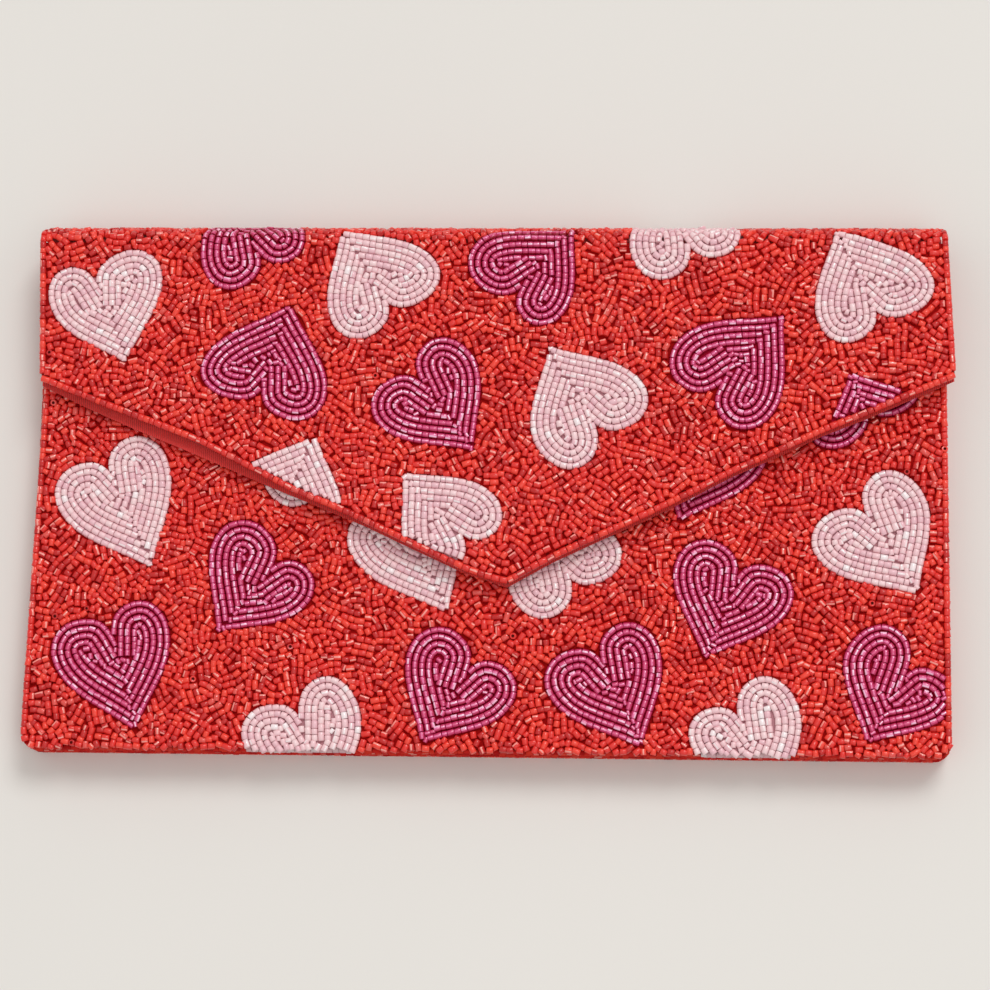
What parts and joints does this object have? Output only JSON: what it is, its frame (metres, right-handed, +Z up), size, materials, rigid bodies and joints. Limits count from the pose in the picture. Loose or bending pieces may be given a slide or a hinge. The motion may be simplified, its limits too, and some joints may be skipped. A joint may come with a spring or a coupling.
{
  "type": "clutch purse",
  "caption": "Flat beaded envelope clutch with a pointed fold-over flap, a lined pocket and a hidden magnetic snap.",
  "frame": {"origin": "under the middle of the whole object, on the surface it rests on, lying on its back with the flap closed", "axes": "+X along the purse to the right, +Y from the bottom edge towards the fold, +Z up through the layers, out of the flap"},
  "size_m": [0.281, 0.1629, 0.02],
  "materials": {
    "beads": "opaque glass tube beads, satin, red with hearts in pale pink and silver-lined magenta",
    "ground_cloth": "plain woven, dark red",
    "board": "uncoated buckram board",
    "lining": "fine ribbed satin, red",
    "thread": "twisted polyester sewing thread, red",
    "snap_metal": "plated, polished",
    "magnet": "dark nickel"
  },
  "bodies": {
    "body": {"back_beads": "beads", "back_cloth": "ground_cloth", "back_stiffener": "board", "back_lining": "lining", "front_beads": "beads", "front_cloth": "ground_cloth", "front_stiffener": "board", "front_lining": "lining", "slip_pocket": "lining", "slip_pocket_hem": "lining", "mouth_binding": "lining", "side_seam": "thread", "snap_socket_shell": "snap_metal", "snap_socket_base": "snap_metal", "snap_socket_washer": "snap_metal", "snap_magnet": "magnet"},
    "fold_1": {"fold_beads_1": "beads", "fold_cloth_1": "ground_cloth", "fold_lining_1": "lining"},
    "fold_2": {"fold_beads_2": "beads", "fold_cloth_2": "ground_cloth", "fold_lining_2": "lining"},
    "flap": {"flap_beads": "beads", "flap_edging": "beads", "flap_cloth": "ground_cloth", "flap_stiffener": "board", "flap_lining": "lining", "snap_stud": "snap_metal", "snap_stud_washer": "snap_metal"}
  },
  "joints": [
    {"name": "fold_crease_1", "type": "hinge", "parent": "body", "child": "fold_1", "pos_m": [0, 0.07505, 0.00235], "axis": [-1, 0, 0], "range_deg": [0, 60]},
    {"name": "fold_crease_2", "type": "hinge", "parent": "fold_1", "child": "fold_2", "pos_m": [0, 0.07946, 0.01], "axis": [-1, 0, 0], "range_deg": [0, 60]},
    {"name": "fold_crease_3", "type": "hinge", "parent": "fold_2", "child": "flap", "pos_m": [0, 0.07505, 0.01765], "axis": [-1, 0, 0], "range_deg": [0, 60]}
  ],
  "couplings": [
    {"joint": "fold_crease_2", "follows": "fold_crease_1", "ratio": 1},
    {"joint": "fold_crease_3", "follows": "fold_crease_1", "ratio": 1}
  ]
}
